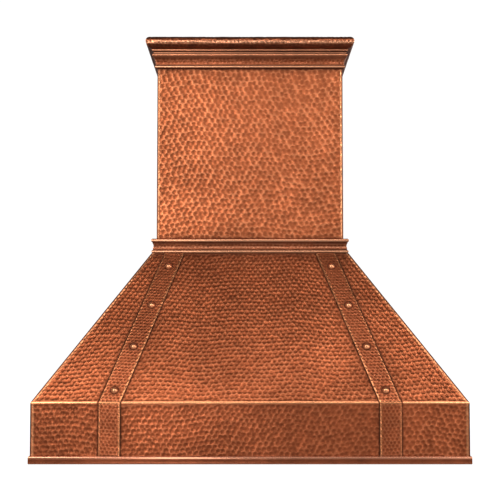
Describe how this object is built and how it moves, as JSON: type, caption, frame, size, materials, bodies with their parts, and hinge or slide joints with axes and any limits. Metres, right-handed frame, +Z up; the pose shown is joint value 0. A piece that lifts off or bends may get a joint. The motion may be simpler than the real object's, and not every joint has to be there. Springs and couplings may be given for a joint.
{
  "type": "island range hood",
  "caption": "Ceiling-hung island range hood in hammered copper: flared canopy with riveted straps, boxed chimney, crown moulding, blower, damper and hinged baffle filters.",
  "frame": {"origin": "centre of the four ceiling bolt holes, on the ceiling plane", "axes": "+Z up towards the ceiling, -Y the front with the controls, +X the right seen from the front"},
  "size_m": [1.067, 0.762, 1.12],
  "materials": {
    "canopy_copper": "hammered copper with a dark reddish-brown patina in the hollows and rubbed bright ridges",
    "rim_copper": "rubbed copper band with a bright top edge",
    "strap_copper": "hammered copper strap with rubbed bright edges",
    "rivet_copper": "smooth burnished copper",
    "moulding_copper": "finely hammered copper with burnished beads",
    "chimney_copper": "hammered copper, patina lighter and more orange than the canopy",
    "zinc_plate": "zinc-plated steel sheet",
    "painted_frame": "black powder-coated steel angle",
    "zinc_fasteners": "zinc-plated steel, faintly yellow",
    "liner_stainless": "stainless steel, brushed across the hood",
    "galvanised_sheet": "galvanised steel sheet with a faint spangle",
    "filter_frame_stainless": "folded stainless steel, fine grain",
    "baffle_stainless": "bright stainless channels, brushed along their length",
    "polished_wire": "polished stainless rod",
    "magnet": "dark ferrite",
    "lamp_can_metal": "matt cast aluminium",
    "bezel_chrome": "satin chrome ring",
    "lens_glass": "frosted glass",
    "fascia_stainless": "stainless steel, brushed lengthwise",
    "switch_plastic": "dark grey moulded plastic",
    "rocker_plastic": "black semi-gloss plastic",
    "knob_plastic": "black satin plastic",
    "wheel_metal": "pressed metal blades, dull",
    "shaft_steel": "ground steel",
    "motor_paint": "dark grey enamel",
    "bracket_paint": "black enamel",
    "capacitor_case": "off-white plastic case",
    "box_steel": "plated sheet steel",
    "bushing_plastic": "black nylon"
  },
  "bodies": {
    "hood": {"canopy_front_panel": "canopy_copper", "canopy_back_panel": "canopy_copper", "canopy_left_panel": "canopy_copper", "canopy_right_panel": "canopy_copper", "bottom_rim": "rim_copper", "front_left_strap": "strap_copper", "front_right_strap": "strap_copper", "back_left_strap": "strap_copper", "back_right_strap": "strap_copper", "front_strap_rivets": "rivet_copper", "back_strap_rivets": "rivet_copper", "collar_moulding": "moulding_copper", "chimney_front_half": "chimney_copper", "chimney_back_half": "chimney_copper", "crown_moulding": "moulding_copper", "ceiling_plate": "zinc_plate", "post_front_left": "painted_frame", "post_front_right": "painted_frame", "post_back_left": "painted_frame", "post_back_right": "painted_frame", "lower_frame": "painted_frame", "frame_bolts": "zinc_fasteners", "hanger_rods": "zinc_fasteners", "liner_pan": "liner_stainless", "plenum_box": "galvanised_sheet", "liner_screws": "zinc_fasteners", "filter_hinge_rod": "polished_wire", "magnet_catches": "magnet", "lamp_cans": "lamp_can_metal", "lamp_bezels": "bezel_chrome", "lamp_lenses": "lens_glass", "control_plate": "fascia_stainless", "switch_bodies": "switch_plastic", "blower_box": "galvanised_sheet", "blower_scroll": "galvanised_sheet", "motor": "motor_paint", "motor_bracket": "bracket_paint", "capacitor": "capacitor_case", "duct_collar": "galvanised_sheet", "exhaust_duct": "galvanised_sheet", "junction_box": "box_steel", "junction_box_cover": "box_steel", "cable_bushing": "bushing_plastic"},
    "filter_left": {"filter_frame_left": "filter_frame_stainless", "filter_baffles_left": "baffle_stainless", "filter_handle_left": "polished_wire"},
    "filter_middle": {"filter_frame_middle": "filter_frame_stainless", "filter_baffles_middle": "baffle_stainless", "filter_handle_middle": "polished_wire"},
    "filter_right": {"filter_frame_right": "filter_frame_stainless", "filter_baffles_right": "baffle_stainless", "filter_handle_right": "polished_wire"},
    "fan_switch": {"fan_rocker": "rocker_plastic"},
    "light_switch": {"light_rocker": "rocker_plastic"},
    "knob": {"speed_knob": "knob_plastic"},
    "wheel": {"blower_wheel": "wheel_metal", "motor_shaft": "shaft_steel"},
    "flap_left": {"damper_flap_left": "galvanised_sheet"},
    "flap_right": {"damper_flap_right": "galvanised_sheet"}
  },
  "joints": [
    {"name": "filter_left_swing", "type": "hinge", "parent": "hood", "child": "filter_left", "pos_m": [-0.303, 0.192, -1.07], "axis": [1, 0, 0], "range_deg": [0, 75]},
    {"name": "filter_middle_swing", "type": "hinge", "parent": "hood", "child": "filter_middle", "pos_m": [0, 0.192, -1.07], "axis": [1, 0, 0], "range_deg": [0, 75]},
    {"name": "filter_right_swing", "type": "hinge", "parent": "hood", "child": "filter_right", "pos_m": [0.303, 0.192, -1.07], "axis": [1, 0, 0], "range_deg": [0, 75]},
    {"name": "fan_rocker_tilt", "type": "hinge", "parent": "hood", "child": "fan_switch", "pos_m": [0.066, -0.28224, -1.073], "axis": [0, -1, 0], "range_deg": [0, 14]},
    {"name": "light_rocker_tilt", "type": "hinge", "parent": "hood", "child": "light_switch", "pos_m": [-0.066, -0.28224, -1.073], "axis": [0, -1, 0], "range_deg": [0, 14]},
    {"name": "speed_knob_turn", "type": "hinge", "parent": "hood", "child": "knob", "pos_m": [0, -0.28224, -1.08], "axis": [0, 0, 1], "range_deg": [0, 270]},
    {"name": "blower_wheel_spin", "type": "hinge", "parent": "hood", "child": "wheel", "pos_m": [0, 0.046, -0.866], "axis": [1, 0, 0], "continuous": true},
    {"name": "damper_left_swing", "type": "hinge", "parent": "hood", "child": "flap_left", "pos_m": [-0.003, 0, -0.69], "axis": [0, 1, 0], "range_deg": [0, 82]},
    {"name": "damper_right_swing", "type": "hinge", "parent": "hood", "child": "flap_right", "pos_m": [0.003, 0, -0.69], "axis": [0, -1, 0], "range_deg": [0, 82]}
  ]
}
